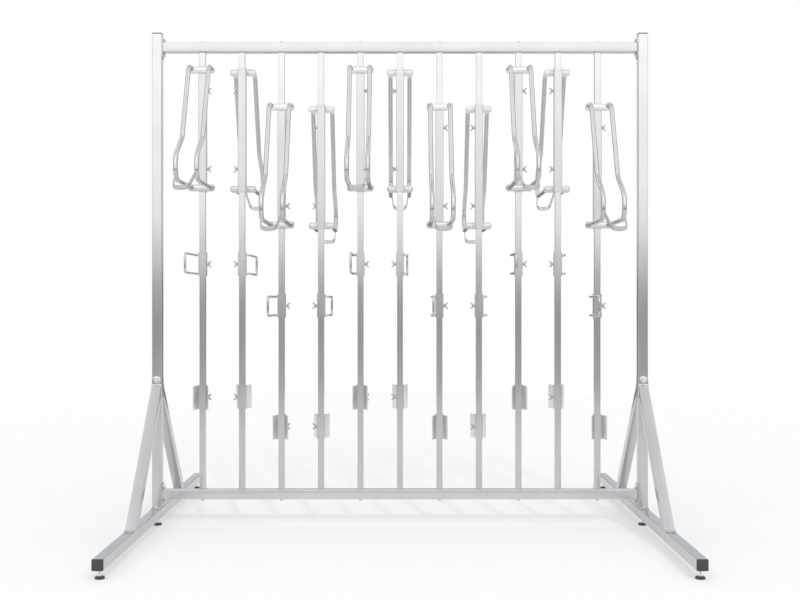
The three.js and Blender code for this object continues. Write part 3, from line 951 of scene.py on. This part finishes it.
# A holder whose arms reach above this is on the upper tier
tier_limit = sum(HOLDER_HEIGHTS.values()) / 2 + HOLDER_SPAN + ARM_RISE + ARM_RADIUS
for number in numbers:
    x, turn = post_x[number], post_turn[number]
    holder_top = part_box(f"wheel_holder_{number}")[1].z
    add_post(number)
    add_wheel_holder(number, x, turn, "upper" if holder_top > tier_limit else "lower")
    add_lock_loop(number, x, turn)
    add_tyre_plate(number, x, turn)

# The floor's tones, and how much of it is left at each distance in metres
FLOOR_RADIUS = 30.0
FLOOR_TONE = (0.50, 0.50, 0.497)
FLOOR_GLOW = 0.36
FLOOR_STOPS = (
    (0.0, 1.0), (1.4, 1.0), (2.4, 0.65), (4.0, 0.3), (7.0, 0.12), (12.0, 0.05), (29.5, 0.0),
)

# The wall's brightness in front by height in metres, its share behind and its tone at the sides
WALL_RADIUS = 6.5
WALL_HEIGHT = 6.0
WALL_BLUE = 0.99
WALL_STOPS = (
    (0.00, 0.256), (0.20, 0.515), (0.40, 0.545), (0.60, 0.392), (0.80, 0.336), (1.00, 0.363),
    (1.20, 0.642), (1.40, 1.08), (1.62, 1.37), (1.85, 1.59), (2.30, 1.44), (3.40, 1.72),
    (6.00, 1.68),
)
BACK_SHARE = 0.55
SIDE_TONE = (0.74, 0.76, 0.81)

# Where one stretch of the wall ends and the next starts, along Y from the front and then along X
# from the middle of the back, as shares of the wall's radius
FRONT_END, BACK_START = -0.85, -0.35
BACK_END, SIDE_START = 0.1, 0.32

# The sky is white up to well above eye height, brighter higher up, and cool right overhead
SKY_STOPS = (
    (0.00, (1.00, 1.00, 1.00)), (0.32, (1.00, 1.00, 1.00)), (0.50, (1.45, 1.45, 1.44)),
    (0.78, (1.45, 1.45, 1.45)), (0.93, (0.98, 1.00, 1.03)), (1.00, (0.90, 0.93, 0.97)),
)
LAMP_STRENGTH = 0.8
LAMP_FROM = (0.325, -1.415, 1.0)
LAMP_SPREAD = math.radians(4)


def share_of(nodes, links, value, low, high, easing="LINEAR"):
    """A number that runs from 0 to 1 as the value goes from low to high."""
    share = nodes.new("ShaderNodeMapRange")
    share.interpolation_type = easing
    share.inputs["From Min"].default_value = low
    share.inputs["From Max"].default_value = high
    links.new(value, share.inputs["Value"])
    return share.outputs["Result"]


def ramp_of(nodes, links, factor, stops):
    """Colour ramp through stops of place, from 0 to 1, and colour."""
    ramp = nodes.new("ShaderNodeValToRGB")
    elements = ramp.color_ramp.elements
    while len(elements) < len(stops):
        elements.new(0.5)
    for element, (place, colour) in zip(elements, stops):
        element.position = place
        element.color = (*colour, 1.0)
    links.new(factor, ramp.inputs["Fac"])
    return ramp.outputs["Color"]


def stage_piece(name, bm, material):
    mesh = bpy.data.meshes.new(name)
    bm.to_mesh(mesh)
    bm.free()
    mesh.materials.append(material)
    made = bpy.data.objects.new(name, mesh)
    bpy.context.scene.collection.objects.link(made)
    made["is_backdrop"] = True
    return made


def add_floor():
    """White floor that fades out with distance, so that it has no edge against the backdrop."""
    material, nodes, links, shader = new_material("studio_floor")
    nodes.remove(shader)
    diffuse = nodes.new("ShaderNodeBsdfDiffuse")
    diffuse.inputs["Color"].default_value = (*FLOOR_TONE, 1.0)
    glow = nodes.new("ShaderNodeEmission")
    glow.inputs["Color"].default_value = (FLOOR_GLOW, FLOOR_GLOW, FLOOR_GLOW, 1.0)
    lit = nodes.new("ShaderNodeAddShader")
    links.new(diffuse.outputs["BSDF"], lit.inputs[0])
    links.new(glow.outputs["Emission"], lit.inputs[1])
    clear = nodes.new("ShaderNodeBsdfTransparent")
    place = nodes.new("ShaderNodeTexCoord")
    distance = nodes.new("ShaderNodeVectorMath")
    distance.operation = "LENGTH"
    links.new(place.outputs["Object"], distance.inputs[0])
    share = share_of(nodes, links, distance.outputs["Value"], 0.0, FLOOR_RADIUS)
    stops = [(radius / FLOOR_RADIUS, (left, left, left)) for radius, left in FLOOR_STOPS]
    mix = nodes.new("ShaderNodeMixShader")
    links.new(ramp_of(nodes, links, share, stops), mix.inputs["Fac"])
    links.new(clear.outputs["BSDF"], mix.inputs[1])
    links.new(lit.outputs["Shader"], mix.inputs[2])
    links.new(mix.outputs["Shader"], nodes["Material Output"].inputs["Surface"])
    disc = bmesh.new()
    bmesh.ops.create_circle(disc, cap_ends=True, segments=STUDIO_STEPS, radius=FLOOR_RADIUS)
    stage_piece("studio_floor", disc, material)


def wall_colour(nodes, links):
    """The wall's tones by height, with the front's, the back's and the sides' run together."""
    place = nodes.new("ShaderNodeTexCoord")
    split = nodes.new("ShaderNodeSeparateXYZ")
    links.new(place.outputs["Object"], split.inputs["Vector"])
    across = nodes.new("ShaderNodeMath")
    across.operation = "ABSOLUTE"
    links.new(split.outputs["X"], across.inputs[0])
    height = share_of(nodes, links, split.outputs["Z"], 0.0, WALL_HEIGHT)
    backwards = share_of(
        nodes, links, split.outputs["Y"], FRONT_END * WALL_RADIUS, BACK_START * WALL_RADIUS,
        "SMOOTHSTEP",
    )
    outwards = share_of(
        nodes, links, across.outputs["Value"], BACK_END * WALL_RADIUS, SIDE_START * WALL_RADIUS,
        "SMOOTHSTEP",
    )
    front_stops = [
        (rise / WALL_HEIGHT, (tone, tone, WALL_BLUE * tone)) for rise, tone in WALL_STOPS
    ]
    back_stops = [
        (share, tuple(BACK_SHARE * value for value in colour)) for share, colour in front_stops
    ]
    front = ramp_of(nodes, links, height, front_stops)
    back = ramp_of(nodes, links, height, back_stops)
    back_and_sides = blend(nodes, links, outwards, back, SIDE_TONE)
    return blend(nodes, links, backwards, front, back_and_sides)


def add_wall():
    """Lit wall all round the rack, for its reflections: bright above, duller at eye height."""
    material, nodes, links, shader = new_material("studio_wall")
    nodes.remove(shader)
    glow = nodes.new("ShaderNodeEmission")
    links.new(wall_colour(nodes, links), glow.inputs["Color"])
    links.new(glow.outputs["Emission"], nodes["Material Output"].inputs["Surface"])
    material.cycles.emission_sampling = "NONE"
    bm = bmesh.new()
    foot = bm.verts.new((0.0, -WALL_RADIUS, 0.0))
    top = bm.verts.new((0.0, -WALL_RADIUS, WALL_HEIGHT))
    spun(bm, [foot, top, bm.edges.new((foot, top))], STUDIO_STEPS)
    wall = stage_piece("studio_wall", bm, material)
    wall.visible_camera = False
    wall.visible_shadow = False


def add_sky():
    world = bpy.data.worlds.new("studio")
    bpy.context.scene.world = world
    world.use_nodes = True
    world.cycles.sampling_method = "NONE"
    nodes, links = world.node_tree.nodes, world.node_tree.links
    way = nodes.new("ShaderNodeTexCoord")
    split = nodes.new("ShaderNodeSeparateXYZ")
    links.new(way.outputs["Generated"], split.inputs["Vector"])
    colour = ramp_of(nodes, links, split.outputs["Z"], SKY_STOPS)
    links.new(colour, nodes["Background"].inputs["Color"])


def add_lamp():
    """Soft lamp high in front, a little to the right, for the shadows of the posts and rail."""
    data = bpy.data.lights.new("lamp", "SUN")
    data.energy = LAMP_STRENGTH
    data.angle = LAMP_SPREAD
    lamp = bpy.data.objects.new("lamp", data)
    lamp.visible_glossy = False
    lamp.rotation_euler = Vector(LAMP_FROM).to_track_quat("Z", "Y").to_euler()
    bpy.context.scene.collection.objects.link(lamp)


def add_camera():
    data = bpy.data.cameras.new("camera")
    data.lens = LENS_MM
    data.sensor_width = SENSOR_MM
    camera = bpy.data.objects.new("camera", data)
    camera.location = CAMERA_PLACE
    camera.rotation_euler = (QUARTER, 0.0, 0.0)
    bpy.context.scene.collection.objects.link(camera)
    bpy.context.scene.camera = camera


add_floor()
add_wall()
add_sky()
add_lamp()
add_camera()
bpy.context.scene.view_settings.view_transform = "Standard"

low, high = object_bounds()
